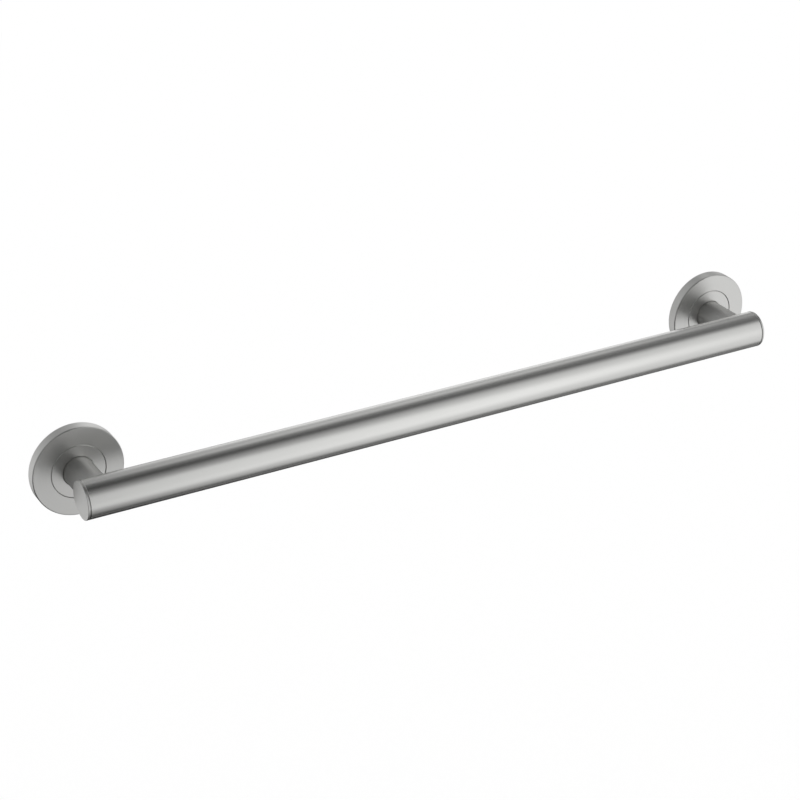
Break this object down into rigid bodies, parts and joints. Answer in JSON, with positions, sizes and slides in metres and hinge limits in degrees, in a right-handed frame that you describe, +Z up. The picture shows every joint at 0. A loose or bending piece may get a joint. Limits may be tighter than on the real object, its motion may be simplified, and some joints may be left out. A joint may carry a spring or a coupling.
{
  "type": "grab bar",
  "caption": "Straight tubular wall grab bar with flush end caps, on short posts with round wall flanges whose screws are hidden under cover rings.",
  "frame": {"origin": "on the face of the wall, midway between the two posts, at the height of the rail's axis", "axes": "+X along the rail, to the right as seen by someone facing the wall; +Y into the wall; +Z up"},
  "size_m": [0.6858, 0.0698, 0.0762],
  "materials": {
    "satin_tube": "stainless tube, satin brushed",
    "satin_turned": "turned stainless, satin with fine rings from the lathe"
  },
  "bodies": {
    "root": {"rail_tube": "satin_tube", "end_cap_left": "satin_turned", "end_cap_right": "satin_turned", "post_left": "satin_tube", "post_right": "satin_tube", "mounting_flange_left": "satin_turned", "mounting_flange_right": "satin_turned", "cover_ring_left": "satin_turned", "cover_ring_right": "satin_turned"}
  },
  "joints": []
}
